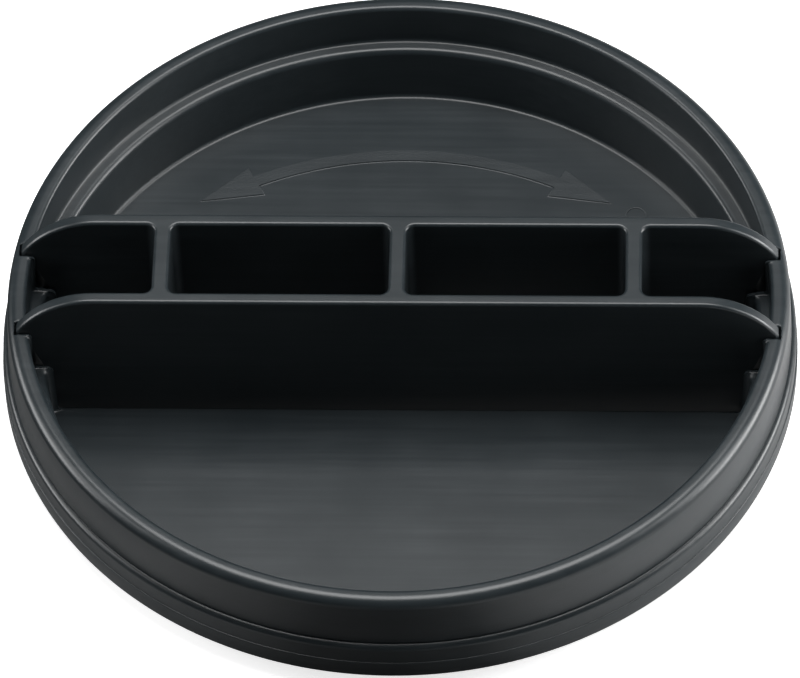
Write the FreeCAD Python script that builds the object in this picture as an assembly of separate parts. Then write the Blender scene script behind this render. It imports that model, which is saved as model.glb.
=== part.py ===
import FreeCAD, Part
import math
import os

# Bucket organizer: a round tray that turns on a ring snapped over the rim of a
# 5-gallon pail, with a lift-out divider across its middle.
# Millimetres. +Z is up, the origin is on the axis at the underside of the tray's
# floor, and the divider runs along X.

# --- Pail that the ring fits ------------------------------------------------
pail_rim_radius = 151.2        # outside of the pail's rolled rim
pail_rim_width = 8.2           # from there in to the pail's mouth
pail_rim_height = 11.0         # from the top of the rim to the bottom of its roll
pail_clearance = 0.8           # between the rim and the ring's skirt

# --- Running and seating clearances -----------------------------------------
running_gap = 0.3              # between the tray and the ring, all round
seat_gap = 0.3                 # between the divider and what it stands on
slot_gap = 0.3                 # each side of a divider wall in its slot
end_gap = 0.4                  # between a divider wall's end and the tray

# --- Tray -------------------------------------------------------------------
floor_thickness = 2.5
well_depth = 26.9              # floor to ledge
well_draft = 0.8               # how much narrower the well is at its floor
well_wall = 2.4
floor_fillet = 2.5
foot_chamfer = 4.0             # round the underside of the well
ledge_thickness = 2.9
ledge_edge_radius = 2.2
ledge_width = 5.3
upper_wall_height = 20.6       # ledge to rim top
upper_wall_draft = 0.3
upper_wall = 2.5
rim_width = 6.65               # inner edge to outer wall, at the top
rim_shoulder = 4.4             # radius of the rim's outer shoulder
rim_slope = 0.6                # how far the rim's top falls outwards
rim_edge_radius = 1.4
outer_wall = 2.4
outer_wall_draft = 1.05

# --- Snap lugs that hold the tray down on the ring --------------------------
lug_count = 8
lug_angle = 12.0
lug_reach = 0.9                # overlap under the ring's flange
lug_height = 4.2
lug_land = 0.9

# --- Ring -------------------------------------------------------------------
flange_thickness = 3.0
flange_overhang = 1.2          # how far the flange reaches in past the pail's mouth
skirt_wall = 2.4
skirt_band_step = 0.5          # how far the lower band stands out
skirt_band_height = 8.1
skirt_edge_radius = 1.0
snap_bead = 1.1                # how far the bead reaches in under the pail's rim
bead_lead_in = 3.3             # height of the slope that guides the rim past the bead

# --- Divider ----------------------------------------------------------------
pocket_width = 33.8
wall_thickness = 5.2
rib_thickness = 6.3
rib_pitch = 91.0
pocket_corner_radius = 3.5
divider_rise = 18.8            # above the rim
end_curve_radius = 31.0
hook_reach = 3.1               # how far a wall's end stands out over the ledge's edge
step_corner_radius = 0.8
divider_edge_break = 0.8

# --- Guide ribs and rim seats on the tray -----------------------------------
guide_land = 1.2               # thickness of a guide rib at its tip
guide_reach_low = 3.4          # how far a guide rib stands in from the well wall
guide_reach_high = 1.3         # the same on the upper wall
rim_seat_depth = 6.8
rim_seat_ramp = 7.2            # length of the slope each side of a seat
rim_seat_skin = 2.5
rim_seat_corner_radius = 0.8
rim_seat_end_gap = 0.4

# --- Direction arrow on the floor -------------------------------------------
arrow_height = 0.5
arrow_radius = 138.0
arrow_margin = 31.5            # from the floor's edge to the middle of the shaft
arrow_half_angle = 25.8
arrow_shaft_width = 5.2
arrow_head_width = 14.8
arrow_head_length = 23.5

# --- Ejector witness ring on the floor --------------------------------------
witness_margin = 18.8          # from the floor's edge to the circle's middle
witness_angle = 40.0           # from +X towards +Y
witness_radius = 4.4
witness_line = 0.8
witness_height = 0.3

# --- Levels and radii that follow -------------------------------------------
floor_top = floor_thickness
ledge_top = floor_top + well_depth
rim_top = ledge_top + upper_wall_height
divider_top = rim_top + divider_rise
pail_mouth_radius = pail_rim_radius - pail_rim_width
flange_bore_radius = pail_mouth_radius - flange_overhang
well_outer_top = flange_bore_radius - running_gap
well_top_radius = well_outer_top - well_wall
well_floor_radius = well_top_radius - well_draft
well_outer_bottom = well_floor_radius + well_wall
ledge_outer_radius = well_top_radius + ledge_width
rim_inner_radius = ledge_outer_radius + upper_wall_draft
rim_outer_radius = rim_inner_radius + rim_width
tray_foot_radius = rim_outer_radius + outer_wall_draft

bearing_level = ledge_top - ledge_thickness
ring_top = bearing_level - running_gap
pail_seat_level = ring_top - flange_thickness
skirt_inner_radius = pail_rim_radius + pail_clearance
skirt_outer_radius = skirt_inner_radius + skirt_wall
band_radius = skirt_outer_radius + skirt_band_step
bead_top = pail_seat_level - pail_rim_height
ring_bottom = bead_top - bead_lead_in

hollow_inner_radius = ledge_outer_radius + upper_wall
hollow_outer_radius = tray_foot_radius - outer_wall
hollow_top = rim_top - rim_slope - upper_wall
hollow_top_width = rim_outer_radius - outer_wall - hollow_inner_radius

wall_inner_y = pocket_width / 2
wall_outer_y = wall_inner_y + wall_thickness
wall_middle_y = wall_inner_y + wall_thickness / 2
divider_half_length = ledge_outer_radius + hook_reach
rim_seat_level = rim_top - rim_seat_depth
rim_seat_end = divider_half_length + rim_seat_end_gap

root_level = floor_top / 2     # where what stands on the floor starts inside it
above = 10.0                   # how far a cutting solid runs past what it cuts
most_facets = 3                # of a round corner in a turned section
facet_length = 1.1             # radius that each of them stands for


def arc_points(start, middle, end, facets):
    """Points that divide the arc through three points into equal facets."""
    curve = Part.Arc(start, middle, end)
    return curve.toShape().discretize(facets + 1)


def facet_count(radius):
    """Facets that stand in for a round corner of a turned section."""
    return min(max(round(radius / facet_length), 1), most_facets)


def rounded_wire(corners, place, faceted=False):
    """Closed wire through corners of (a, b, radius), each corner rounded or faceted."""
    points = [FreeCAD.Vector(a, b, 0) for a, b, radius in corners]
    count = len(corners)
    runs = []
    for index in range(count):
        point = points[index]
        radius = corners[index][2]
        if radius == 0:
            runs.append([place(point)])
            continue
        to_previous = (points[index - 1] - point).normalize()
        to_next = (points[(index + 1) % count] - point).normalize()
        half_angle = to_previous.getAngle(to_next) / 2
        reach = radius / math.tan(half_angle)
        bisector = (to_previous + to_next).normalize()
        depth = radius / math.sin(half_angle) - radius
        start = place(point + to_previous * reach)
        middle = place(point + bisector * depth)
        end = place(point + to_next * reach)
        if faceted:
            runs.append(arc_points(start, middle, end, facet_count(radius)))
        else:
            runs.append([start, middle, end])
    edges = []
    for index in range(count):
        run = runs[index]
        if len(run) == 3 and not faceted:
            edges.append(Part.Arc(run[0], run[1], run[2]).toShape())
        else:
            for start, end in zip(run, run[1:]):
                edges.append(Part.LineSegment(start, end).toShape())
        following = runs[(index + 1) % count][0]
        if (following - run[-1]).Length > 1e-6:
            edges.append(Part.LineSegment(run[-1], following).toShape())
    return Part.Wire(edges)


def in_section(point):
    """Places a 2-D point in the XZ plane."""
    return FreeCAD.Vector(point.x, 0, point.y)


def in_plan(point):
    """Places a 2-D point in the XY plane."""
    return FreeCAD.Vector(point.x, point.y, 0)


def revolved(corners, angle=360.0):
    """Solid made by turning a section of (radius, height, corner radius) about Z."""
    face = Part.Face(rounded_wire(corners, in_section, faceted=True))
    return face.revolve(FreeCAD.Vector(0, 0, 0), FreeCAD.Vector(0, 0, 1), angle)


def prism(corners, bottom, height):
    """Upright solid on a plan outline of (x, y, corner radius)."""
    face = Part.Face(rounded_wire(corners, in_plan))
    face.translate(FreeCAD.Vector(0, 0, bottom))
    return face.extrude(FreeCAD.Vector(0, 0, height))


def box(x_range, y_range, z_range):
    """Box between three pairs of limits."""
    size = [high - low for low, high in (x_range, y_range, z_range)]
    corner = FreeCAD.Vector(x_range[0], y_range[0], z_range[0])
    return Part.makeBox(size[0], size[1], size[2], corner)


def mirrored_x(shape):
    """Copy of a shape on the other side of the YZ plane."""
    return shape.mirror(FreeCAD.Vector(0, 0, 0), FreeCAD.Vector(1, 0, 0))


def mirrored_y(shape):
    """Copy of a shape on the other side of the XZ plane."""
    return shape.mirror(FreeCAD.Vector(0, 0, 0), FreeCAD.Vector(0, 1, 0))


def four_ways(shape):
    """The shape and its mirror images at all four ends of the divider's walls."""
    pair = [shape, mirrored_x(shape)]
    return pair + [mirrored_y(item) for item in pair]


def chord_x(radius, y):
    """Distance along X from the middle plane to a circle of this radius at this y."""
    return math.sqrt(radius * radius - y * y)


# --- Ring -------------------------------------------------------------------

def make_base_ring():
    """Flanged ring: flat track on top, skirt with a snap bead over the pail's rim."""
    bead_radius = skirt_inner_radius - snap_bead
    band_top = ring_bottom + skirt_band_height
    section = [
        (flange_bore_radius, pail_seat_level, 0),
        (skirt_inner_radius, pail_seat_level, 0),
        (skirt_inner_radius, bead_top + snap_bead, 0),
        (bead_radius, bead_top, 0),
        (skirt_inner_radius, ring_bottom, 0),
        (band_radius, ring_bottom, 0),
        (band_radius, band_top, 0),
        (skirt_outer_radius, band_top + skirt_band_step, 0),
        (skirt_outer_radius, ring_top, skirt_edge_radius),
        (flange_bore_radius, ring_top, 0),
    ]
    return revolved(section)


# --- Tray -------------------------------------------------------------------

def tray_body():
    """Solid of the tray's outer form, with the hollow that its rim turns over."""
    outside = [
        (0, 0, 0),
        (well_outer_bottom - foot_chamfer, 0, 0),
        (well_outer_bottom, foot_chamfer, 0),
        (well_outer_top, bearing_level, 0),
        (tray_foot_radius, bearing_level, 0),
        (rim_outer_radius, rim_top - rim_slope, rim_shoulder),
        (rim_inner_radius, rim_top, 0),
        (0, rim_top, 0),
    ]
    return revolved(outside)


def tray_cavity():
    """Space inside the well and above the ledge, with the rim's rounded inner edge."""
    flare = rim_edge_radius
    inside = [
        (0, floor_top, 0),
        (well_floor_radius, floor_top, floor_fillet),
        (well_top_radius, ledge_top, ledge_edge_radius),
        (ledge_outer_radius, ledge_top, 0),
        (rim_inner_radius, rim_top - flare, flare),
        (rim_inner_radius + flare, rim_top, 0),
        (rim_inner_radius + flare, rim_top + above, 0),
        (0, rim_top + above, 0),
    ]
    return revolved(inside)


def rim_hollow():
    """Space between the upper wall and the outer wall, open below."""
    section = [
        (hollow_inner_radius, bearing_level - above, 0),
        (hollow_inner_radius, hollow_top, 0),
        (hollow_inner_radius + hollow_top_width, hollow_top, 0),
        (hollow_outer_radius, bearing_level, 0),
        (hollow_outer_radius, bearing_level - above, 0),
    ]
    return revolved(section)


def rim_seat_block():
    """Part of the rim's hollow that is filled under one seat."""
    half_width = wall_thickness / 2 + slot_gap + rim_seat_ramp + rim_seat_skin
    y_range = (wall_middle_y - half_width, wall_middle_y + half_width)
    z_range = (rim_seat_level - rim_seat_skin, rim_top)
    return box((well_top_radius, tray_foot_radius), y_range, z_range)


def rim_seat_cut():
    """Saddle with sloping sides, cut into the rim under a divider wall's end."""
    half_floor = wall_thickness / 2 + slot_gap
    rise = rim_seat_depth + above
    run = rim_seat_ramp * rise / rim_seat_depth
    outline = [
        (wall_middle_y - half_floor, rim_seat_level, rim_seat_corner_radius),
        (wall_middle_y + half_floor, rim_seat_level, rim_seat_corner_radius),
        (wall_middle_y + half_floor + run, rim_seat_level + rise, 0),
        (wall_middle_y - half_floor - run, rim_seat_level + rise, 0),
    ]
    wire = rounded_wire(outline, lambda point: FreeCAD.Vector(0, point.x, point.y))
    start = ledge_outer_radius - above
    face = Part.Face(wire)
    face.translate(FreeCAD.Vector(start, 0, 0))
    return face.extrude(FreeCAD.Vector(rim_seat_end - start, 0, 0))


def guide_rib(wall_x, reach, face_y, side, bottom, top):
    """Gusset that stands in from a wall beside a slot, blended into that wall."""
    tip_x = wall_x - reach
    root_x = wall_x + well_wall
    land_y = face_y + side * guide_land
    root_y = land_y + side * reach
    bend = reach * (1 - math.sqrt(0.5))
    corners = [
        FreeCAD.Vector(root_x, face_y, bottom),
        FreeCAD.Vector(tip_x, face_y, bottom),
        FreeCAD.Vector(tip_x, land_y, bottom),
        FreeCAD.Vector(wall_x, root_y, bottom),
        FreeCAD.Vector(root_x, root_y, bottom),
    ]
    middle = FreeCAD.Vector(wall_x - bend, land_y + side * bend, bottom)
    edges = [
        Part.LineSegment(corners[0], corners[1]).toShape(),
        Part.LineSegment(corners[1], corners[2]).toShape(),
        Part.Arc(corners[2], middle, corners[3]).toShape(),
        Part.LineSegment(corners[3], corners[4]).toShape(),
        Part.LineSegment(corners[4], corners[0]).toShape(),
    ]
    face = Part.Face(Part.Wire(edges))
    return face.extrude(FreeCAD.Vector(0, 0, top - bottom))


def guide_ribs(body):
    """Stepped pair of guide ribs at one end of one divider wall."""
    ribs = []
    ledge_root = ledge_top - ledge_thickness / 2
    faces = [(wall_outer_y + slot_gap, 1), (wall_inner_y - slot_gap, -1)]
    for face_y, side in faces:
        well_x = chord_x(well_top_radius, face_y)
        upper_x = chord_x(ledge_outer_radius, face_y)
        low = guide_rib(well_x, guide_reach_low, face_y, side, root_level, ledge_top)
        high = guide_rib(upper_x, guide_reach_high, face_y, side, ledge_root, rim_seat_level)
        ribs.append(low.fuse(high))
    pair = ribs[0].fuse(ribs[1])
    return pair.common(body)


def snap_lugs():
    """Hooks round the well that pass under the ring's flange."""
    top = pail_seat_level - running_gap
    reach = flange_bore_radius + lug_reach
    root = well_outer_bottom - well_wall / 2
    section = [
        (root, top, 0),
        (reach, top, 0),
        (reach, top - lug_land, 0),
        (root, top - lug_height, 0),
    ]
    lug = revolved(section, lug_angle)
    lug.rotate(FreeCAD.Vector(0, 0, 0), FreeCAD.Vector(0, 0, 1), -lug_angle / 2)
    lugs = []
    for index in range(lug_count):
        copy = lug.copy()
        turn = (index + 0.5) * 360.0 / lug_count
        copy.rotate(FreeCAD.Vector(0, 0, 0), FreeCAD.Vector(0, 0, 1), turn)
        lugs.append(copy)
    return lugs


def arrow():
    """Raised double-headed arrow: an arc shaft with a head at each end."""
    centre_y = well_floor_radius - arrow_margin - arrow_radius
    turn = math.radians(arrow_half_angle)

    def on_arc(radius, angle):
        x = radius * math.sin(angle)
        return FreeCAD.Vector(x, centre_y + radius * math.cos(angle), 0)

    outer = arrow_radius + arrow_shaft_width / 2
    inner = arrow_radius - arrow_shaft_width / 2
    shaft = Part.Wire([
        Part.Arc(on_arc(outer, -turn), on_arc(outer, 0), on_arc(outer, turn)).toShape(),
        Part.LineSegment(on_arc(outer, turn), on_arc(inner, turn)).toShape(),
        Part.Arc(on_arc(inner, turn), on_arc(inner, 0), on_arc(inner, -turn)).toShape(),
        Part.LineSegment(on_arc(inner, -turn), on_arc(outer, -turn)).toShape(),
    ])
    half_head = arrow_head_width / 2
    base = on_arc(arrow_radius, turn)
    along = FreeCAD.Vector(math.cos(turn), -math.sin(turn), 0)
    barb_out = on_arc(arrow_radius + half_head, turn)
    barb_in = on_arc(arrow_radius - half_head, turn)
    tip = base + along * arrow_head_length
    head = Part.Face(Part.makePolygon([barb_out, tip, barb_in, barb_out]))
    plates = [Part.Face(shaft), head, mirrored_x(head)]
    solids = []
    for plate in plates:
        plate.translate(FreeCAD.Vector(0, 0, root_level))
        solids.append(plate.extrude(FreeCAD.Vector(0, 0, floor_top + arrow_height - root_level)))
    return solids[0].fuse(solids[1:]).removeSplitter()


def witness_ring():
    """Plain raised circle left on the floor by an ejector."""
    turn = math.radians(witness_angle)
    distance = well_floor_radius - witness_margin
    place = FreeCAD.Vector(distance * math.cos(turn), distance * math.sin(turn), root_level)
    height = floor_top + witness_height - root_level
    outer = Part.makeCylinder(witness_radius, height, place)
    inner = Part.makeCylinder(witness_radius - witness_line, height, place)
    return outer.cut(inner)


def make_tray():
    """Tray: well, ledge, hollow rim, floor arrow, guide ribs, rim seats and lugs."""
    body = tray_body()
    hollow = rim_hollow().cut(four_ways(rim_seat_block()))
    tray = body.cut([tray_cavity(), hollow])
    ribs = four_ways(guide_ribs(body))
    tray = tray.fuse(ribs + snap_lugs() + [arrow(), witness_ring()])
    tray = tray.cut(four_ways(rim_seat_cut()))
    return tray.removeSplitter()


# --- Divider ----------------------------------------------------------------

def divider_side_view():
    """Outline of a long wall, curved down at its ends and stepped to suit the tray."""
    foot = floor_top + seat_gap
    well_x = chord_x(well_top_radius, wall_outer_y) - end_gap
    foot_x = chord_x(well_floor_radius, wall_outer_y) - end_gap
    upper_x = chord_x(ledge_outer_radius, wall_outer_y) - end_gap
    step = ledge_top + seat_gap
    hook = rim_seat_level + seat_gap
    wide = divider_half_length
    far = wide + above
    depth = wall_outer_y + above

    right = [
        (foot_x, foot, floor_fillet + end_gap),
        (well_x, step, step_corner_radius),
        (upper_x, step, step_corner_radius),
        (upper_x, hook, 0),
        (far, hook, 0),
        (far, divider_top + above, 0),
    ]
    left = [(-x, z, radius) for x, z, radius in reversed(right)]
    below = Part.Face(rounded_wire(right + left, in_section))
    arch = Part.Face(rounded_wire([
        (wide, foot, 0),
        (wide, divider_top, end_curve_radius),
        (-wide, divider_top, end_curve_radius),
        (-wide, foot, 0),
    ], in_section))
    blanks = []
    for face in (below, arch):
        face.translate(FreeCAD.Vector(0, -depth, 0))
        blanks.append(face.extrude(FreeCAD.Vector(0, 2 * depth, 0)))
    return blanks[0].common(blanks[1])


def pocket(x_start, x_end):
    """Tool to cut one pocket between the long walls."""
    foot = floor_top + seat_gap - above
    return prism([
        (x_start, -wall_inner_y, pocket_corner_radius),
        (x_end, -wall_inner_y, pocket_corner_radius),
        (x_end, wall_inner_y, pocket_corner_radius),
        (x_start, wall_inner_y, pocket_corner_radius),
    ], foot, divider_top - foot + above)


def top_edges(shape):
    """Long edges along the top of the walls, ribs and curved ends."""
    centre_x = divider_half_length - end_curve_radius
    centre_z = divider_top - end_curve_radius
    found = []
    for edge in shape.Edges:
        middle = edge.valueAt((edge.FirstParameter + edge.LastParameter) / 2)
        ends = [vertex.Point for vertex in edge.Vertexes]
        points = ends + [middle]
        across = max(p.y for p in points) - min(p.y for p in points)
        if across > wall_thickness * 0.8 and abs(middle.x) > centre_x:
            continue
        on_top = True
        for point in points:
            beyond = abs(point.x) - centre_x
            if beyond <= 0:
                level = divider_top
            else:
                level = centre_z + math.sqrt(max(end_curve_radius ** 2 - beyond ** 2, 0))
            on_top = on_top and abs(point.z - level) < 0.01
        if on_top:
            found.append(edge)
    return found


def make_divider():
    """Two long walls joined by three cross ribs, open below."""
    width = (-wall_outer_y, wall_outer_y)
    far = divider_half_length + above
    blank = box((-far, far), width, (0, divider_top + above))
    frame = blank.common(divider_side_view())
    half_rib = rib_thickness / 2
    inner = pocket(half_rib, rib_pitch - half_rib)
    outer = pocket(rib_pitch + half_rib, far + above)
    frame = frame.cut([inner, mirrored_x(inner), outer, mirrored_x(outer)])
    return frame.makeChamfer(divider_edge_break, top_edges(frame))


# --- Files ------------------------------------------------------------------

def main():
    """Writes each piece to its own file."""
    os.makedirs("parts", exist_ok=True)
    pieces = {
        "base_ring": make_base_ring(),
        "tray": make_tray(),
        "divider": make_divider(),
    }
    for name, shape in pieces.items():
        shape.exportStep("parts/" + name + ".step")
        limits = shape.BoundBox
        print(name, "solids", len(shape.Solids), "valid", shape.isValid(),
              "volume", round(shape.Volume / 1000, 1),
              [round(value, 2) for value in (limits.XMin, limits.XMax, limits.YMin,
                                             limits.YMax, limits.ZMin, limits.ZMax)])


main()
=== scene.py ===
import math

import bmesh
import bpy
from bpy.props import FloatProperty, FloatVectorProperty, PointerProperty
from bpy.types import Operator, Panel, PropertyGroup
from mathutils import Matrix, Vector


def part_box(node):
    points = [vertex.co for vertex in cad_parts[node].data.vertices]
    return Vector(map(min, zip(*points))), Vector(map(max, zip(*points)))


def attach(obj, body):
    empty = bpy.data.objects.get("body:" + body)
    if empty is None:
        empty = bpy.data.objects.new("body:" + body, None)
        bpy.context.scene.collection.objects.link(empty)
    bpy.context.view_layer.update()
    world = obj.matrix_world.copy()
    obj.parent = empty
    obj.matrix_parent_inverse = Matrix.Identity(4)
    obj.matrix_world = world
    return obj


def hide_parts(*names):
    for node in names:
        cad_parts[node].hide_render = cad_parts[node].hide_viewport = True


bl_info = {
    "name": "Bucket organizer finish",
    "version": (1, 0, 0),
    "blender": (4, 5, 0),
    "location": "3D View > Sidebar > Organizer",
    "description": "Finishes a moulded bucket organizer and sets it on a studio stage",
    "category": "Object",
}

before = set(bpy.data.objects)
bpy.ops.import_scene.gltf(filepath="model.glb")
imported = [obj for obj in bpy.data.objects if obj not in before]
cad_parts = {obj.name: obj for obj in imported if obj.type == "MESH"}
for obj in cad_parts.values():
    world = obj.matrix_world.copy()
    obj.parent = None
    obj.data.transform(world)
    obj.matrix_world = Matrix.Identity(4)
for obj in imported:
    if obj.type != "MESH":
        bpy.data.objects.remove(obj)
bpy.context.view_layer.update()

MM = 0.001
RING_LOW, RING_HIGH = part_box("base_ring")
DIVIDER_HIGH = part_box("divider")[1]
RIM_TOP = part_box("tray")[1].z


def hex_colour(code):
    """Linear RGBA from an sRGB hex value."""
    channels = [int(code[i:i + 2], 16) / 255 for i in (1, 3, 5)]
    linear = [c / 12.92 if c <= 0.04045 else ((c + 0.055) / 1.055) ** 2.4 for c in channels]
    return (*linear, 1.0)


# --- Settings ---------------------------------------------------------------

def length(name, description, millimetres):
    """Length setting with its default in millimetres."""
    return FloatProperty(name=name, description=description, unit="LENGTH", min=0, precision=5,
                         default=millimetres * MM)


class OrganizerSizes(PropertyGroup):
    """Sections of the tray and the ring, and the rounds that only the finish shows"""

    floor_top: length("Floor", "Thickness of the tray's floor", 2.5)
    ledge_top: length("Ledge", "Height of the ledge above the underside", 29.4)
    bearing: length("Bearing face", "Height of the face that runs on the ring", 26.5)
    well_floor: length("Well at floor", "Inside radius of the well at its floor", 138.3)
    well_top: length("Well at ledge", "Inside radius of the well at the ledge", 139.1)
    well_wall: length("Well wall", "Thickness of the well's wall", 2.4)
    ledge_edge: length("Ledge's far edge", "Radius where the upper wall starts", 144.8)
    rim_inside: length("Rim inside", "Inside radius of the rim at its top", 143.9)
    rim_outside: length("Rim outside", "Outside radius of the rim at its top", 151.35)
    rim_fall: length("Rim fall", "How far the rim's top falls inwards", 0.45)
    hollow_inside: length("Hollow inside", "Inside radius of the hollow under the rim", 146.9)
    hollow_top: length("Hollow top", "Height of the roof of that hollow", 46.9)
    ledge_fall: length("Ledge fall", "How far the ledge falls inwards", 0.6)
    floor_round: length("Floor round", "Round between the floor and the well's wall", 1.8)
    ledge_round: length("Ledge round", "Round along the ledge's inner edge", 2.6)
    ledge_hollow: length("Ledge corner", "Round where the ledge meets the upper wall", 1.5)
    lip_round: length("Lip round", "Round along the rim's inner edge", 1.8)
    shoulder: length("Shoulder", "Round on the outside of the rim", 4.4)
    seat_depth: length("Seat depth", "How far the rim dips under a wall's end", 6.8)
    seat_round: length("Seat round", "Round on the dip's upper edges", 0.9)
    seat_reach: length("Seat reach", "How far out along the divider the dip reaches", 147.3)
    roof_ramp: length("Roof ramp", "Slope of the hollow's roof beside a dip", 16.0)
    wall_middle: length("Wall's middle", "From the axis to the middle of a divider wall", 19.5)
    slot_half: length("Slot", "Half the gap between two guide ribs", 2.9)
    guide_land: length("Guide land", "Width of a guide rib's tip", 1.2)
    guide_low: length("Lower guide", "How far a guide rib stands in from the well", 3.4)
    guide_high: length("Upper guide", "How far it stands in above the ledge", 1.3)
    lug_reach: length("Lug reach", "Radius that a snap lug reaches out to", 142.7)
    arrow_radius: length("Arrow radius", "Radius of the arrow's shaft", 138.0)
    arrow_front: length("Arrow place", "From the axis to the middle of the shaft", 106.8)
    arrow_shaft: length("Arrow shaft", "Width of the arrow's shaft", 5.2)
    arrow_barb: length("Arrow head", "Width of an arrow's head", 14.8)
    arrow_head: length("Arrow head length", "Length of an arrow's head", 23.5)
    arrow_rise: length("Arrow rise", "How far the arrow stands up from the floor", 0.5)
    arrow_turn: FloatProperty(
        name="Arrow angle", description="From the middle of the shaft to a head",
        subtype="ANGLE", unit="ROTATION", default=math.radians(25.8))
    curve_middle: length("Curve middle", "From the axis to the middle of a wall's end curve", 116.5)
    curve_radius: length("Curve radius", "Radius of that curve", 31.0)
    divider_round: length("Divider round", "Round on the divider's edges", 0.5)
    ring_bore: length("Ring bore", "Radius of the ring's flange inside", 141.8)
    ring_skirt: length("Ring skirt", "Inside radius of the ring's skirt", 152.0)
    ring_wall: length("Ring wall", "Thickness of the ring's skirt", 2.4)
    ring_band: length("Ring band", "Outside radius of the ring's lower band", 154.9)
    ring_bead: length("Ring bead", "How far the snap bead reaches in", 1.1)
    ring_flange: length("Ring flange", "Thickness of the ring's flange", 3.0)
    ring_round: length("Ring round", "Round on the ring's upper edge", 2.6)


class OrganizerFinish(PropertyGroup):
    """Colours and grain of the moulded plastic"""

    plastic: FloatVectorProperty(
        name="Plastic", description="Colour of the black polyethylene",
        subtype="COLOR", size=4, min=0, max=1, default=hex_colour("#1f2528"))
    bloom: FloatVectorProperty(
        name="Bloom", description="Colour of the dusty bloom that handling leaves",
        subtype="COLOR", size=4, min=0, max=1, default=hex_colour("#393f42"))
    tray_rough: FloatProperty(
        name="Tray roughness", description="Roughness of the tray and the divider",
        subtype="FACTOR", min=0, max=1, default=0.31)
    ring_rough: FloatProperty(
        name="Ring roughness", description="Roughness of the ring",
        subtype="FACTOR", min=0, max=1, default=0.30)
    arrow_rough: FloatProperty(
        name="Arrow roughness", description="Roughness of the spark-textured arrow",
        subtype="FACTOR", min=0, max=1, default=0.40)
    grain: length("Grain", "Size of the fine grain of the mould", 0.7)
    streak_length: length("Streak length", "Length of the flow streaks along the divider", 90)
    streak_width: length("Streak width", "Width of the flow streaks", 2.5)
    smudge: length("Smudge", "Width of the patches that handling has wiped", 45)


class OrganizerStage(PropertyGroup):
    """Place, aim and lens of the camera, and colours of the floor and backdrop"""

    azimuth: FloatProperty(
        name="Azimuth", description="Camera's turn about the organizer's axis",
        subtype="ANGLE", unit="ROTATION", default=math.radians(2.96))
    elevation: FloatProperty(
        name="Elevation", description="Camera's height above the horizon",
        subtype="ANGLE", unit="ROTATION", default=math.radians(51.15))
    roll: FloatProperty(
        name="Roll", description="Camera's turn about its own line of sight",
        subtype="ANGLE", unit="ROTATION", default=math.radians(1.98))
    distance: FloatProperty(
        name="Distance", description="From the middle of the rim to the camera",
        unit="LENGTH", default=3048 * MM)
    lens: FloatProperty(
        name="Lens", description="Focal length of the camera",
        unit="CAMERA", default=354.7)
    aim_below: FloatProperty(
        name="Aim below", description="How far under the middle of the rim the camera aims",
        unit="LENGTH", default=19.0 * MM)
    aim_side: FloatProperty(
        name="Aim aside", description="How far to the right of the rim's middle it aims",
        unit="LENGTH", default=0.7 * MM)
    floor_shade: FloatVectorProperty(
        name="Floor shade", description="Colour that the floor gives back to the object",
        subtype="COLOR", size=4, min=0, max=1, default=hex_colour("#d8d8d8"))
    backdrop: FloatVectorProperty(
        name="Backdrop", description="Colour of the floor and background",
        subtype="COLOR", size=4, min=0, max=1, default=hex_colour("#ffffff"))


# --- Materials --------------------------------------------------------------

def add_node(tree, kind, settings=None, links=None):
    """Adds one node, sets its properties and sockets, and links its inputs."""
    node = tree.nodes.new(kind)
    for key, value in (settings or {}).items():
        if isinstance(key, int) or key in node.inputs:
            node.inputs[key].default_value = value
        else:
            setattr(node, key, value)
    for key, source in (links or {}).items():
        tree.links.new(source, node.inputs[key])
    return node


def new_material(name):
    """Empty node material and its output node."""
    material = bpy.data.materials.new(name)
    material.use_nodes = True
    material.node_tree.nodes.clear()
    output = add_node(material.node_tree, "ShaderNodeOutputMaterial")
    return material, material.node_tree, output


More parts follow.
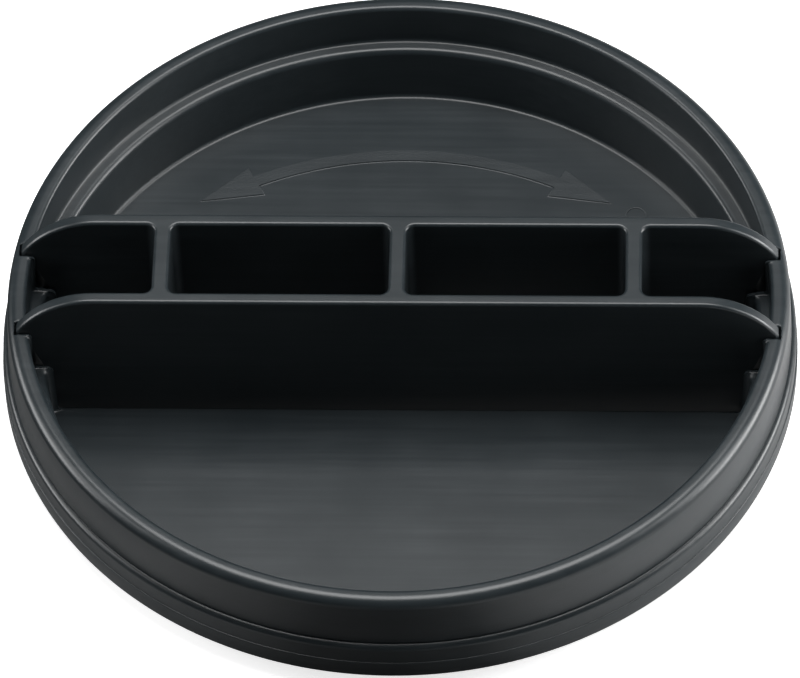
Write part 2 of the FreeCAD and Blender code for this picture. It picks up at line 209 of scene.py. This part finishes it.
def moulded_polyethylene(name, finish, roughness, coarseness=1.0):
    """Carbon-black polyethylene, injection moulded: a waxy satin black."""
    material, tree, output = new_material(name)
    place = add_node(tree, "ShaderNodeTexCoord").outputs["Object"]

    # Flow streaks run along the divider, as the melt ran across the mould.
    stretch = (1 / finish.streak_length, 1 / finish.streak_width, 1 / finish.streak_width)
    along = add_node(tree, "ShaderNodeVectorMath", {"operation": "MULTIPLY", 1: stretch}, {0: place})
    streaks = add_node(tree, "ShaderNodeTexNoise", {"Scale": 1.0, "Detail": 4.0, "Roughness": 0.6},
                       {"Vector": along.outputs[0]})
    # Smudges a hand's breadth across, where the surface has been wiped.
    smudges = add_node(tree, "ShaderNodeTexNoise",
                       {"Scale": 1 / finish.smudge, "Detail": 4.0, "Roughness": 0.6}, {"Vector": place})
    # The mould's own grain is finer than this, and is drawn as coarse as it needs to show.
    grain = add_node(tree, "ShaderNodeTexNoise", {"Scale": 1 / finish.grain, "Detail": 2.0, "Roughness": 0.5},
                     {"Vector": place})

    wiped = add_node(tree, "ShaderNodeMath", {"operation": "MULTIPLY"},
                     {0: streaks.outputs["Fac"], 1: smudges.outputs["Fac"]})
    bloom = add_node(tree, "ShaderNodeMapRange",
                     {"From Min": 0.12, "From Max": 0.48, "To Min": 0.0, "To Max": 0.42},
                     {"Value": wiped.outputs[0]})
    colour = add_node(tree, "ShaderNodeMix", {"data_type": "RGBA"}, {0: bloom.outputs[0]})
    colour.inputs[6].default_value = finish.plastic
    colour.inputs[7].default_value = finish.bloom
    rough = add_node(tree, "ShaderNodeMapRange",
                     {"From Min": 0.15, "From Max": 0.4,
                      "To Min": roughness - 0.01, "To Max": roughness + 0.03},
                     {"Value": wiped.outputs[0]})
    bump = add_node(tree, "ShaderNodeBump", {"Strength": 0.12 * coarseness, "Distance": 0.1 * MM},
                    {"Height": grain.outputs["Fac"]})
    shader = add_node(tree, "ShaderNodeBsdfPrincipled", {"IOR": 1.51},
                      {"Base Color": colour.outputs[2], "Roughness": rough.outputs[0],
                       "Normal": bump.outputs[0]})
    tree.links.new(shader.outputs[0], output.inputs["Surface"])
    return material


# Painted shade and light on the floor as the object reflects it, by share of the way from left to right:
# dark in the middle, where the object's shadow falls in front of it, lighter to its left, lightest to its
# right.
# They are set by trial, to give the skirt its dark front and lighter sides.
PAINTED_SHADE_REACH = 200 * MM
PAINTED_FLOOR_SHADES = ((0.1, 0.35), (0.2, 0.6), (0.3, 0.4), (0.4, 0.15),
               (0.5, 0.1), (0.6, 0.15), (0.7, 0.7), (0.8, 1.0))


def painted_backdrop(name, colour, shade):
    """Matt white studio floor: the camera sees it white with the object's shadow on it."""
    material, tree, output = new_material(name)
    path = add_node(tree, "ShaderNodeLightPath")
    paint = add_node(tree, "ShaderNodeBsdfDiffuse", {"Color": colour})
    glow = add_node(tree, "ShaderNodeEmission", {"Color": colour, "Strength": 0.72})
    seen = add_node(tree, "ShaderNodeAddShader", {}, {0: paint.outputs[0], 1: glow.outputs[0]})
    # Reflections and bounced light see these painted shades instead: painted shade where the object's shadow
    # lies in front of it, painted light to its sides.
    place = add_node(tree, "ShaderNodeTexCoord").outputs["Object"]
    across = add_node(tree, "ShaderNodeSeparateXYZ", {}, {0: place})
    share = add_node(tree, "ShaderNodeMapRange", {"From Min": -PAINTED_SHADE_REACH, "From Max": PAINTED_SHADE_REACH},
                     {"Value": across.outputs["X"]})
    ramp = add_node(tree, "ShaderNodeValToRGB", {}, {0: share.outputs[0]})
    for spot, level in PAINTED_FLOOR_SHADES:
        stop = ramp.color_ramp.elements.new(spot)
        stop.color = (level, level, level, 1)
    # The ramp's painted shade and light, times the floor's shade.
    card = add_node(tree, "ShaderNodeMix", {"data_type": "RGBA", "blend_type": "MULTIPLY", 0: 1.0},
                    {6: ramp.outputs[0]})
    card.inputs[7].default_value = shade
    dull = add_node(tree, "ShaderNodeBsdfDiffuse", {}, {"Color": card.outputs[2]})
    mix = add_node(tree, "ShaderNodeMixShader", {}, {0: path.outputs["Is Camera Ray"],
                                                     1: dull.outputs[0], 2: seen.outputs[0]})
    tree.links.new(mix.outputs[0], output.inputs["Surface"])
    return material


# --- Meshes -----------------------------------------------------------------

ROUND_STEP = 0.35 * MM      # longest step along a round
RIM_STEP = 0.4 * MM         # between rows across the rim's top
STRAIGHT_REACH = 60 * MM    # columns start to turn towards the divider's direction here
STRAIGHT_BLEND = 26 * MM    # and run along it after this much
LUG_SPACING = 45            # degrees
LUG_HALF = 6                # degrees
LUG_ZONE = 18 * MM          # the lugs are all above this height
LUG_LOW, LUG_HIGH = 21.9 * MM, 22.95 * MM
WELL, LEDGE, HOLLOW, OUTSIDE, UNDERSIDE = range(5)


def smooth_step(value):
    """0 below 0, 1 above 1, and an even curve between them."""
    value = min(max(value, 0.0), 1.0)
    return value * value * (3 - 2 * value)


def rounded_section(corners, closed):
    """Points (radius, height, zone) along corners of (radius, height, round, zone)."""
    count = len(corners)
    points = []
    for index, (radius, height, curve, zone) in enumerate(corners):
        here = Vector((radius, height))
        if curve == 0 or (not closed and index in (0, count - 1)):
            points.append((radius, height, zone))
            continue
        back = (Vector(corners[index - 1][:2]) - here).normalized()
        on = (Vector(corners[(index + 1) % count][:2]) - here).normalized()
        half = back.angle(on) / 2
        middle = here + (back + on).normalized() * (curve / math.sin(half))
        start = here + back * (curve / math.tan(half)) - middle
        sweep = start.angle_signed(here + on * (curve / math.tan(half)) - middle)
        steps = max(3, round(abs(sweep) * curve / ROUND_STEP))
        for step in range(steps + 1):
            turn = -sweep * step / steps
            spot = middle + Matrix.Rotation(turn, 2) @ start
            points.append((spot.x, spot.y, zone))
    return points


def lathe(name, section, turns, closed, shift=None):
    """Mesh turned from a section at the given angles, each point moved by shift."""
    columns, rows = len(turns), len(section)
    verts, faces = [], []
    for turn in turns:
        for radius, height, zone in section:
            angle = turn
            if shift:
                radius, height, angle = shift(radius, height, zone, turn)
            verts.append((radius * math.cos(angle), radius * math.sin(angle), height))
    last = rows if closed else rows - 1
    for column in range(columns):
        this, following = column * rows, (column + 1) % columns * rows
        for row in range(last):
            up = (row + 1) % rows
            faces.append((this + row, following + row, following + up, this + up))
    mesh = bpy.data.meshes.new(name)
    mesh.from_pydata(verts, [], faces)
    shape = bmesh.new()
    shape.from_mesh(mesh)
    bmesh.ops.remove_doubles(shape, verts=shape.verts, dist=0.001 * MM)
    bmesh.ops.recalc_face_normals(shape, faces=shape.faces)
    shape.to_mesh(mesh)
    shape.free()
    return mesh


def finished_piece(name, mesh, material, body, node=None, sharp=38, crisp=False):
    """Links a mesh as a smooth piece that rides on a body and may stand for a CAD node."""
    for polygon in mesh.polygons:
        polygon.use_smooth = True
    mesh.set_sharp_from_angle(angle=math.radians(sharp))
    mesh.materials.append(material)
    piece = bpy.data.objects.new(name, mesh)
    bpy.context.scene.collection.objects.link(piece)
    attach(piece, body)
    if crisp:
        # Flat faces stay flat up to their rounds, which then draw a thin line of light.
        piece.modifiers.new("flat faces", "WEIGHTED_NORMAL").keep_sharp = True
    if node:
        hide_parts(node)
    return piece


def even_turns(count):
    """Equal angles round the axis."""
    return [math.tau * index / count for index in range(count)]


def tray_turns(sizes):
    """Angles round the tray, with columns on every edge of the divider's slots."""
    edge = sizes.slot_half
    land = edge + sizes.guide_land
    steps = [edge * share for share in (0, 0.5, 0.85, 0.99)]
    steps += [edge + sizes.seat_round * share for share in (0.01, 0.05, 0.15, 0.3, 0.5, 0.75, 1.0)]
    for reach in (sizes.guide_high, sizes.guide_low):
        steps += [land + reach * share for share in (0, 0.03, 0.1, 0.2, 0.35, 0.55, 0.75, 1.0)]
    beside = {round(sizes.wall_middle + side * step, 6) for side in (1, -1) for step in steps}
    beside |= {0.0, 3.5 * MM, 7.0 * MM, 10.0 * MM, 28.5 * MM, 30.0 * MM, 32.0 * MM}
    near = {round(math.degrees(math.asin(y / sizes.rim_inside)), 4) for y in beside}
    quarter = near | {float(degrees) for degrees in range(14, 91)}
    angles = {round((start + side * degrees) % 360, 4)
              for start in (0, 180) for side in (1, -1) for degrees in quarter}
    return [math.radians(value) for value in sorted(angles)]


def tray_section(sizes):
    """The tray's section, from the middle of its underside round to the middle of its floor."""
    wall = sizes.well_wall
    foot = 4 * MM
    foot_x = sizes.well_floor + wall
    rim_edge = sizes.rim_outside + 1.05 * MM
    corners = [
        (0, 0, 0, UNDERSIDE),
        (foot_x - foot, 0, 2 * MM, UNDERSIDE),
        (foot_x, foot, 2 * MM, UNDERSIDE),
        (sizes.well_floor + wall + 0.95 * MM, 18.7 * MM, 0, UNDERSIDE),
        (sizes.well_floor + wall + 1.15 * MM, 22.0 * MM, 0, UNDERSIDE),
        (sizes.well_floor + wall + 1.2 * MM, 22.9 * MM, 0, UNDERSIDE),
        (sizes.well_floor + wall + 1.21 * MM, 23.0 * MM, 0, UNDERSIDE),
        (sizes.well_top + wall, sizes.bearing, 0.6 * MM, OUTSIDE),
        (sizes.hollow_inside, sizes.bearing, 0.5 * MM, HOLLOW),
        (sizes.hollow_inside, sizes.hollow_top, 1.0 * MM, HOLLOW),
        (sizes.hollow_inside + 2.05 * MM, sizes.hollow_top, 0.8 * MM, HOLLOW),
        (rim_edge - 2.4 * MM, sizes.bearing, 0.5 * MM, OUTSIDE),
        (rim_edge, sizes.bearing, 0.5 * MM, OUTSIDE),
        (sizes.rim_outside, RIM_TOP, sizes.shoulder, LEDGE),
        (sizes.rim_inside, RIM_TOP - sizes.rim_fall, sizes.lip_round, LEDGE),
        (sizes.ledge_edge, sizes.ledge_top, sizes.ledge_hollow, LEDGE),
        (sizes.well_top, sizes.ledge_top - sizes.ledge_fall, sizes.ledge_round, WELL),
        (sizes.well_floor, sizes.floor_top, sizes.floor_round, WELL),
        (0.9 * sizes.well_floor, sizes.floor_top, 0, OUTSIDE),
        (0, sizes.floor_top, 0, OUTSIDE),
    ]
    points = rounded_section(corners, closed=False)
    return with_rim_rows(points, sizes)


def with_rim_rows(points, sizes):
    """Adds rows across the rim's top, so that its dips can curve."""
    full = []
    for first, second in zip(points, points[1:]):
        full.append(first)
        across = first[0] - second[0]
        on_rim = first[2] == LEDGE and second[2] == LEDGE and min(first[1], second[1]) > sizes.hollow_top
        if on_rim and across > 1 * MM:
            rows = round(across / RIM_STEP)
            for row in range(1, rows):
                share = row / rows
                full.append((first[0] - across * share, first[1] + (second[1] - first[1]) * share, LEDGE))
    full.append(points[-1])
    return full


def tray_shift(sizes):
    """Function that dips the rim, raises the guide ribs and pushes out the snap lugs."""

    def guide(y, reach):
        """How far a guide rib stands in at this distance beside its slot."""
        beside = abs(abs(y) - sizes.wall_middle) - sizes.slot_half
        if beside < 0:
            return 0.0
        left = reach + sizes.guide_land - beside
        if left <= 0:
            return 0.0
        left = min(left, reach)
        return reach - math.sqrt(max(reach * reach - left * left, 0.0))

    def dip(y):
        """Depth of the rim's dip at this distance from the middle plane."""
        beside = abs(abs(y) - sizes.wall_middle) - sizes.slot_half
        if beside < 0:
            return sizes.seat_depth
        left = max(sizes.seat_round - beside, 0)
        return sizes.seat_round - math.sqrt(sizes.seat_round ** 2 - left ** 2)

    def roof(y):
        """Depth of the hollow's roof under that dip."""
        beside = abs(abs(y) - sizes.wall_middle) - sizes.slot_half
        return sizes.seat_depth * smooth_step(1 - beside / sizes.roof_ramp)

    def shift(radius, height, zone, turn):
        y = sizes.rim_inside * math.sin(turn)
        straight = radius > 0.8 * sizes.well_floor and zone != UNDERSIDE
        if straight and abs(y) < STRAIGHT_REACH:
            # Near the slots the columns run along the divider, as the slots' sides do.
            share = smooth_step((STRAIGHT_REACH - abs(y)) / STRAIGHT_BLEND)
            across = y * share + radius * math.sin(turn) * (1 - share)
            near = math.asin(across / radius)
            turn = near if math.cos(turn) > 0 else math.pi - near
        if zone == HOLLOW:
            share = (height - sizes.bearing) / (sizes.hollow_top - sizes.bearing)
            height -= roof(y) * share
        elif zone == LEDGE:
            share = (height - sizes.ledge_top) / (RIM_TOP - sizes.ledge_top)
            along = abs(radius * math.cos(turn))
            inward = 1 - smooth_step((along - sizes.seat_reach) / (0.5 * MM))
            height -= dip(y) * max(share, 0) * inward
            if radius < sizes.rim_inside + sizes.lip_round:
                radius -= guide(y, sizes.guide_high)
        elif zone == WELL:
            radius -= guide(y, sizes.guide_low)
        elif zone == UNDERSIDE and height > LUG_ZONE:
            off = abs(math.degrees(turn) % LUG_SPACING - LUG_SPACING / 2)
            if off < LUG_HALF and LUG_LOW < height < LUG_HIGH:
                radius = sizes.lug_reach
        return radius, height, turn

    return shift


def arrow_outline(sizes):
    """Outline of the double-headed arrow, (x, y) in order."""
    middle = sizes.arrow_front - sizes.arrow_radius
    turn = sizes.arrow_turn

    def on_arc(radius, angle):
        return Vector((radius * math.sin(angle), middle + radius * math.cos(angle)))

    half, barb = sizes.arrow_shaft / 2, sizes.arrow_barb / 2
    outer = [on_arc(sizes.arrow_radius + half, turn * step / 40) for step in range(-40, 41)]
    inner = [on_arc(sizes.arrow_radius - half, turn * step / 40) for step in range(40, -41, -1)]
    tip = on_arc(sizes.arrow_radius, turn) + Vector((math.cos(turn), -math.sin(turn))) * sizes.arrow_head
    right = [on_arc(sizes.arrow_radius + barb, turn), tip, on_arc(sizes.arrow_radius - barb, turn)]
    left = [Vector((-point.x, point.y)) for point in reversed(right)]
    return outer + right + inner + left


def raised_plate(name, outline, bottom, top):
    """Thin plate on an outline, with a hollow round where its sides meet the floor."""
    count = len(outline)
    corners = []
    for index, point in enumerate(outline):
        back = (point - outline[index - 1]).normalized()
        on = (outline[(index + 1) % count] - point).normalized()
        away = Vector((-back.y - on.y, back.x + on.x)).normalized()
        corners.append(away / max(away.dot(Vector((-back.y, back.x))), 0.3))
    hollow = 0.9 * (top - bottom)
    levels = [(hollow * (1 - math.sin(step * math.pi / 8)), hollow * (1 - math.cos(step * math.pi / 8)))
              for step in range(5)]
    levels.append((0.0, top - bottom))
    shape = bmesh.new()
    rings = []
    for wider, higher in levels:
        rings.append([shape.verts.new((*(point + corner * wider), bottom + higher))
                      for point, corner in zip(outline, corners)])
    for lower, upper in zip(rings, rings[1:]):
        for index in range(count):
            following = (index + 1) % count
            shape.faces.new((lower[index], lower[following], upper[following], upper[index]))
    shape.faces.new(rings[-1])
    bmesh.ops.recalc_face_normals(shape, faces=shape.faces)
    bmesh.ops.triangulate(shape, faces=[face for face in shape.faces if len(face.verts) > 4])
    if max(shape.faces, key=lambda face: face.calc_area()).normal.z < 0:
        bmesh.ops.reverse_faces(shape, faces=shape.faces)
    mesh = bpy.data.meshes.new(name)
    shape.to_mesh(mesh)
    shape.free()
    return mesh


def ring_section(sizes):
    """The ring's section: flange, skirt with its snap bead, and the band round its foot."""
    low, high = RING_LOW.z, RING_HIGH.z
    inside = sizes.ring_skirt
    outside = inside + sizes.ring_wall
    seat = high - sizes.ring_flange
    band_top = low + 8.1 * MM
    bead = low + 3.3 * MM
    corners = [
        (sizes.ring_bore, seat, 0.3 * MM, OUTSIDE),
        (inside, seat, 0.6 * MM, OUTSIDE),
        (inside, bead + sizes.ring_bead, 0.4 * MM, OUTSIDE),
        (inside - sizes.ring_bead, bead, 0.4 * MM, OUTSIDE),
        (inside, low, 0.2 * MM, OUTSIDE),
        (sizes.ring_band, low, 0.7 * MM, OUTSIDE),
        (sizes.ring_band, band_top, 0.35 * MM, OUTSIDE),
        (outside, band_top + 0.1 * MM, 0.1 * MM, OUTSIDE),
        (outside, high, sizes.ring_round, OUTSIDE),
        (sizes.ring_bore, high, 0.3 * MM, OUTSIDE),
    ]
    return rounded_section(corners, closed=True)


def rounded_divider(name, sizes):
    """Copy of the divider's solid, with its ends full down to the rim and its edges rounded."""
    shape = bmesh.new()
    shape.from_mesh(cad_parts["divider"].data)
    bmesh.ops.remove_doubles(shape, verts=shape.verts, dist=0.01 * MM)
    bmesh.ops.dissolve_limit(shape, angle_limit=math.radians(1), verts=shape.verts, edges=shape.edges)
    for level in (RIM_TOP, RIM_TOP + 3 * MM, RIM_TOP + 7 * MM):
        bmesh.ops.bisect_plane(shape, geom=[*shape.verts, *shape.edges, *shape.faces],
                               plane_co=(0, 0, level), plane_no=(0, 0, 1))
    middle = DIVIDER_HIGH.z - sizes.curve_radius
    widest = DIVIDER_HIGH.x
    at_rim = sizes.curve_middle + math.sqrt(sizes.curve_radius ** 2 - (RIM_TOP - middle) ** 2)
    for vert in shape.verts:
        out, up = abs(vert.co.x) - sizes.curve_middle, vert.co.z - middle
        inside = sizes.curve_radius - math.hypot(out, up)
        if out < 0 or up < 0 or inside > 1.2 * MM:
            continue
        side = math.copysign(1, vert.co.x)
        if vert.co.z < RIM_TOP:
            vert.co.x = side * (widest - max(inside, 0))
        else:
            share = (DIVIDER_HIGH.z - vert.co.z) / (DIVIDER_HIGH.z - RIM_TOP)
            vert.co.x += side * (widest - at_rim) * share ** 1.5
    sharp = [item for item in shape.edges if item.is_manifold and item.calc_face_angle() > math.radians(30)
             and min(vert.co.z for vert in item.verts) > RIM_TOP - 0.5 * MM]
    bmesh.ops.bevel(shape, geom=sharp, offset=sizes.divider_round, segments=3, affect="EDGES", profile=0.5,
                    clamp_overlap=False)
    bmesh.ops.triangulate(shape, faces=[face for face in shape.faces if len(face.verts) > 4])
    mesh = bpy.data.meshes.new(name)
    shape.to_mesh(mesh)
    shape.free()
    return mesh


# --- Operators --------------------------------------------------------------

class OBJECT_OT_organizer_ring(Operator):
    """Make the ring that snaps over the pail's rim"""

    bl_idname = "object.organizer_ring"
    bl_label = "Make the ring"

    def execute(self, context):
        sizes, finish = context.scene.organizer_sizes, context.scene.organizer_finish
        mesh = lathe("ring", ring_section(sizes), even_turns(288), closed=True)
        plastic = moulded_polyethylene("moulded polyethylene ring", finish, finish.ring_rough)
        finished_piece("ring", mesh, plastic, "base", "base_ring")
        return {"FINISHED"}


class OBJECT_OT_organizer_tray(Operator):
    """Make the tray with its dips, guide ribs and snap lugs"""

    bl_idname = "object.organizer_tray"
    bl_label = "Make the tray"

    def execute(self, context):
        sizes, finish = context.scene.organizer_sizes, context.scene.organizer_finish
        mesh = lathe("tray_body", tray_section(sizes), tray_turns(sizes), closed=False,
                     shift=tray_shift(sizes))
        plastic = moulded_polyethylene("moulded polyethylene tray", finish, finish.tray_rough)
        finished_piece("tray_body", mesh, plastic, "tray", "tray")
        return {"FINISHED"}


EJECTOR_PLACE = (91.6 * MM, 76.8 * MM)
EJECTOR_INSIDE, EJECTOR_OUTSIDE = 3.6 * MM, 4.4 * MM


class OBJECT_OT_organizer_arrow(Operator):
    """Make the raised arrow and the ejector's circle on the tray's floor"""

    bl_idname = "object.organizer_arrow"
    bl_label = "Make the arrow"

    def execute(self, context):
        sizes, finish = context.scene.organizer_sizes, context.scene.organizer_finish
        floor = sizes.floor_top
        plastic = moulded_polyethylene("spark textured polyethylene arrow", finish, finish.arrow_rough, 6.0)
        arrow = raised_plate("arrow", arrow_outline(sizes), floor, floor + sizes.arrow_rise)
        finished_piece("arrow", arrow, plastic, "tray", crisp=True)
        low, high, curve = floor - 0.5 * MM, floor + 0.3 * MM, 0.15 * MM
        corners = [
            (EJECTOR_INSIDE, low, 0, OUTSIDE),
            (EJECTOR_OUTSIDE, low, 0, OUTSIDE),
            (EJECTOR_OUTSIDE, high, curve, OUTSIDE),
            (EJECTOR_INSIDE, high, curve, OUTSIDE),
        ]
        circle = lathe("ejector_circle", rounded_section(corners, closed=True), even_turns(48), closed=True)
        circle.transform(Matrix.Translation((*EJECTOR_PLACE, 0)))
        finished_piece("ejector_circle", circle, plastic, "tray")
        return {"FINISHED"}


class OBJECT_OT_organizer_divider(Operator):
    """Round the edges of the divider and finish it"""

    bl_idname = "object.organizer_divider"
    bl_label = "Make the divider"

    def execute(self, context):
        sizes, finish = context.scene.organizer_sizes, context.scene.organizer_finish
        mesh = rounded_divider("divider_body", sizes)
        plastic = moulded_polyethylene("moulded polyethylene divider", finish, finish.tray_rough)
        finished_piece("divider_body", mesh, plastic, "divider", "divider", sharp=60, crisp=True)
        return {"FINISHED"}


def add_lamp(name, place, aim, size, power):
    """Rectangular soft lamp at a place, turned towards a point."""
    lamp = bpy.data.lights.new(name, "AREA")
    lamp.shape = "RECTANGLE"
    lamp.size, lamp.size_y = size
    lamp.energy = power
    holder = bpy.data.objects.new(name, lamp)
    bpy.context.scene.collection.objects.link(holder)
    holder.location = place
    holder.rotation_mode = "QUATERNION"
    holder.rotation_quaternion = (Vector(aim) - Vector(place)).to_track_quat("-Z", "Y")
    return holder


def add_camera(stage):
    """Camera on the organizer, by angles about the middle of its rim."""
    turn, rise = stage.azimuth, stage.elevation
    back = Vector((math.sin(turn) * math.cos(rise), -math.cos(turn) * math.cos(rise), math.sin(rise)))
    level = Vector((math.cos(turn), math.sin(turn), 0))
    upright = back.cross(level)
    right = level * math.cos(stage.roll) - upright * math.sin(stage.roll)
    up = level * math.sin(stage.roll) + upright * math.cos(stage.roll)
    place = Vector((0, 0, RIM_TOP)) + back * stage.distance
    aim = Vector((0, 0, RIM_TOP)) + right * stage.aim_side - up * stage.aim_below
    back = (place - aim).normalized()
    right = up.cross(back).normalized()
    up = back.cross(right)
    data = bpy.data.cameras.new("camera")
    data.lens = stage.lens
    data.sensor_width = 36
    data.clip_end = 20
    camera = bpy.data.objects.new("camera", data)
    bpy.context.scene.collection.objects.link(camera)
    axes = Matrix((right, up, back)).transposed()
    camera.matrix_world = Matrix.Translation(place) @ axes.to_4x4()
    bpy.context.scene.camera = camera
    return camera


FLOOR_HALF = 6.0  # metres from the middle of the studio floor to its edge


class SCENE_OT_organizer_stage(Operator):
    """Make the floor, lamps, world and camera"""

    bl_idname = "scene.organizer_stage"
    bl_label = "Set the stage"

    def execute(self, context):
        stage = context.scene.organizer_stage
        half = FLOOR_HALF
        mesh = bpy.data.meshes.new("floor")
        mesh.from_pydata([(-half, -half, 0), (half, -half, 0), (half, half, 0), (-half, half, 0)],
                         [], [(0, 1, 2, 3)])
        floor = bpy.data.objects.new("floor", mesh)
        context.scene.collection.objects.link(floor)
        mesh.materials.append(painted_backdrop("matt white studio floor", stage.backdrop, stage.floor_shade))

        middle = (0, 0, RIM_TOP)
        for name, place, size, radiance in (
                ("top softbox", (0.0, 0.13, 1.05), (1.0, 0.6), 7.3),
                ("back strip", (0.0, 0.64, 0.93), (1.6, 0.3), 0.45),
                ("right strip", (1.3, 0.12, 0.27), (0.8, 0.5), 13.0),
                ("left strip", (-1.3, 0.12, 0.27), (0.8, 0.5), 7.0),
                ("right card", (1.05, -0.08, 0.8), (0.6, 0.5), 5.0),
                ("left card", (-1.05, -0.08, 0.8), (0.6, 0.5), 3.0)):
            power = radiance * math.pi * size[0] * size[1]
            add_lamp(name, place, middle, size, power)

        world = bpy.data.worlds.new("studio")
        context.scene.world = world
        world.use_nodes = True
        tree = world.node_tree
        tree.nodes.clear()
        output = add_node(tree, "ShaderNodeOutputWorld")
        path = add_node(tree, "ShaderNodeLightPath")
        dim = add_node(tree, "ShaderNodeBackground", {"Color": hex_colour("#8c8c8c"), "Strength": 0.04})
        white = add_node(tree, "ShaderNodeBackground", {"Color": stage.backdrop, "Strength": 1.0})
        mix = add_node(tree, "ShaderNodeMixShader", {}, {0: path.outputs["Is Camera Ray"],
                                                         1: dim.outputs[0], 2: white.outputs[0]})
        tree.links.new(mix.outputs[0], output.inputs["Surface"])

        add_camera(stage)
        context.scene.view_settings.view_transform = "Standard"
        return {"FINISHED"}


class VIEW3D_PT_organizer(Panel):
    """Buttons and settings of the organizer"""

    bl_idname = "VIEW3D_PT_organizer"
    bl_label = "Bucket organizer"
    bl_space_type = "VIEW_3D"
    bl_region_type = "UI"
    bl_category = "Organizer"

    def draw(self, context):
        layout = self.layout
        for group in (context.scene.organizer_sizes, context.scene.organizer_finish,
                      context.scene.organizer_stage):
            box = layout.box()
            for name in group.__annotations__:
                box.prop(group, name)
        for operator in OPERATORS:
            layout.operator(operator.bl_idname)


OPERATORS = (
    OBJECT_OT_organizer_ring,
    OBJECT_OT_organizer_tray,
    OBJECT_OT_organizer_arrow,
    OBJECT_OT_organizer_divider,
    SCENE_OT_organizer_stage,
)
CLASSES = (OrganizerSizes, OrganizerFinish, OrganizerStage, *OPERATORS, VIEW3D_PT_organizer)


def register():
    """Registers the classes and hangs the settings on the scene."""
    for item in CLASSES:
        bpy.utils.register_class(item)
    bpy.types.Scene.organizer_sizes = PointerProperty(type=OrganizerSizes)
    bpy.types.Scene.organizer_finish = PointerProperty(type=OrganizerFinish)
    bpy.types.Scene.organizer_stage = PointerProperty(type=OrganizerStage)


def unregister():
    """Takes the settings and classes away again."""
    del bpy.types.Scene.organizer_stage
    del bpy.types.Scene.organizer_finish
    del bpy.types.Scene.organizer_sizes
    for item in reversed(CLASSES):
        bpy.utils.unregister_class(item)


def main():
    """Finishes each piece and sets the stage."""
    register()
    bpy.ops.object.organizer_ring()
    bpy.ops.object.organizer_tray()
    bpy.ops.object.organizer_arrow()
    bpy.ops.object.organizer_divider()
    bpy.ops.scene.organizer_stage()


if __name__ == "__main__":
    main()
